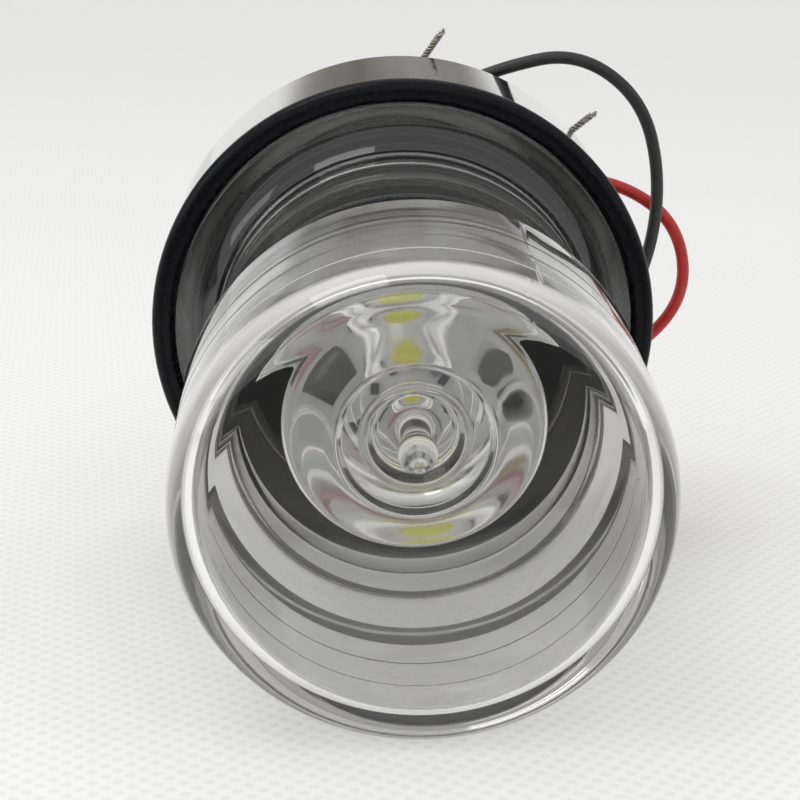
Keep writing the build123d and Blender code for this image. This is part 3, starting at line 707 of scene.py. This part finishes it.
def optic_outline():
    """The optic's section from the ball's tip, down and out over the rings and rim, down the
    flared side to the foot, and up into the pocket over the LED."""
    ball_h = OPTIC_TIP_H - BALL_R
    neck_angle = -math.acos(ROD_R / BALL_R)
    angle = np.linspace(math.pi / 2, neck_angle, 18)
    ball = np.stack([BALL_R * np.cos(angle), ball_h + BALL_R * np.sin(angle)], -1)
    top = rounded(
        [
            (ROD_R, ball_h - 1.6, 0),
            (ROD_R + 0.1, 50.6, 1.2),
            (4.4, 51.0, 1.0),
            (5.2, 53.4, 0.35),
            (5.8, 52.5, 0.35),
            (7.7, 53.1, 0.35),
            (8.3, OPTIC_CREST_H, 0.4),
            (9.0, 53.6, 0),
        ],
        closed=False,
    )
    dome = arc_between((9.0, 53.6), (12.0, 51.9), (OPTIC_RIM_R - 0.35, OPTIC_RIM_H + 0.6))
    edge = [(OPTIC_RIM_R - 0.2, 49.7, 0), (OPTIC_RIM_R, 49.3, 0.2), (OPTIC_RIM_R, 48.8, 0)]
    rim = rounded(edge, closed=False)
    flare = arc_between((OPTIC_RIM_R, 48.6), (10.6, 41.2), (9.2, OPTIC_FOOT_H + 2.4), 20)
    foot = rounded(
        [
            (9.2, OPTIC_FOOT_H + 2.3, 0),
            (9.2, OPTIC_FOOT_H + 0.02, 0.2),
            (POCKET_R, OPTIC_FOOT_H + 0.02, 0.2),
            (POCKET_R, POCKET_H, 0.4),
            (LED_POCKET_R, POCKET_H, 0.15),
        ],
        closed=False,
    )
    angle = np.linspace(0.06, math.pi / 2, 12)
    pocket = np.stack([LED_POCKET_R * np.cos(angle), POCKET_H + LED_POCKET_R * np.sin(angle)], -1)
    pocket[-1, 0] = ball[0, 0] = 0.0
    return np.concatenate([ball, top, dome, rim, flare, foot, pocket])


optic = turned("inner_optic_body", optic_outline(), closed=False, sharp=40)
stands_for(optic, OPTIC_CLEAR, "clear_optic", "base", "inner_optic")
print("optic has", len(optic.data.polygons), "faces")

# %% [markdown]
# ## Collar, cup, rubber and the pieces inside
# The collar is black moulded plastic, the cup is deep-drawn steel polished like a mirror, and the
# pieces inside each have the finish of what they are made of. All keep their solids' own shape.

# %% Finishes of the plain solids
BLACK_PLASTIC = surface(
    "black_gloss_plastic",
    (0.004, 0.004, 0.005),
    (0.007, 0.007, 0.009),
    (0.2, 0.3),
    1500.0,
    gloss=0.12,
    lift=0.000002,
)
STEEL = surface("mirror_steel", (0.60, 0.60, 0.585), (0.66, 0.66, 0.645), (0.05, 0.09), 60.0, metal=1.0)
RUBBER = surface("black_rubber", (0.018, 0.018, 0.018), (0.03, 0.03, 0.03), (0.55, 0.75), 1500.0)

CAD_LOOKS = {
    "black_collar": BLACK_PLASTIC,
    "board_turret": surface(
        "black_moulded_floor", (0.002, 0.002, 0.003), (0.004, 0.004, 0.005), (0.4, 0.6), 700.0, gloss=0.1
    ),
    "steel_cup": STEEL,
    "collar_gasket": RUBBER,
    "mounting_gasket": RUBBER,
    "cable_grommet": RUBBER,
    "lens_seal": RUBBER,
    "slip_washer": surface("dark_film", (0.02, 0.02, 0.022), (0.03, 0.03, 0.032), (0.3, 0.45), 900.0),
    "heat_disc": surface("aluminium", (0.78, 0.78, 0.79), (0.85, 0.85, 0.86), (0.25, 0.4), 500.0, metal=1.0),
    "circuit_board": surface("white_board", (0.62, 0.63, 0.60), (0.74, 0.75, 0.72), (0.3, 0.5), 800.0),
    "led_package": surface("led_ceramic", (0.78, 0.78, 0.74), (0.84, 0.84, 0.8), (0.3, 0.4), 1500.0),
    "led_phosphor": surface("led_phosphor", (0.72, 0.68, 0.05), (0.84, 0.8, 0.12), (0.2, 0.4), 2500.0),
    "resistors": surface("resistor_film", (0.03, 0.03, 0.028), (0.07, 0.07, 0.06), (0.3, 0.5), 2500.0),
    "capacitors": surface("capacitor_ceramic", (0.34, 0.24, 0.13), (0.46, 0.34, 0.2), (0.4, 0.6), 2500.0),
    "driver_chip": surface("chip_epoxy", (0.02, 0.02, 0.02), (0.04, 0.04, 0.04), (0.5, 0.7), 2500.0),
    "power_inductor": surface("inductor_ferrite", (0.16, 0.18, 0.24), (0.26, 0.29, 0.36), (0.4, 0.6), 2500.0),
    "glass_diode": surface(
        "diode_glass", (0.42, 0.2, 0.2), (0.55, 0.28, 0.28), (0.05, 0.1), 1500.0, coat=1.0
    ),
    "solder_joints": surface("solder", (0.7, 0.7, 0.7), (0.8, 0.8, 0.8), (0.2, 0.35), 2500.0, metal=1.0),
    "threaded_inserts": surface("brass", (0.6, 0.42, 0.18), (0.7, 0.5, 0.24), (0.25, 0.4), 900.0, metal=1.0),
    "inner_wire_black": surface(
        "black_insulation", (0.012, 0.012, 0.013), (0.022, 0.022, 0.024), (0.35, 0.5), 900.0
    ),
    "inner_wire_red": surface("red_insulation", (0.42, 0.012, 0.01), (0.5, 0.02, 0.016), (0.3, 0.45), 900.0),
    "wire_tie": surface("nylon", (0.72, 0.71, 0.66), (0.8, 0.79, 0.74), (0.4, 0.6), 900.0),
}
SCREW_STEEL = surface("screw_steel", (0.55, 0.55, 0.55), (0.62, 0.62, 0.62), (0.25, 0.4), 1200.0, metal=1.0)
TINNED = surface("tinned_copper", (0.30, 0.29, 0.25), (0.46, 0.45, 0.41), (0.35, 0.55), 2500.0, metal=1.0)
CAD_LOOKS |= {node: SCREW_STEEL for node in ("cup_screws", "turret_screws", "board_screws")}
for node, material in CAD_LOOKS.items():
    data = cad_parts[node].data
    data.materials.clear()
    data.materials.append(material)
for colour, (lead, core) in leads.items():
    lead.data.materials.append(CAD_LOOKS[f"inner_wire_{colour}"])
    core.data.materials.append(TINNED)
print("CAD nodes with a finish of their own:", len(CAD_LOOKS))
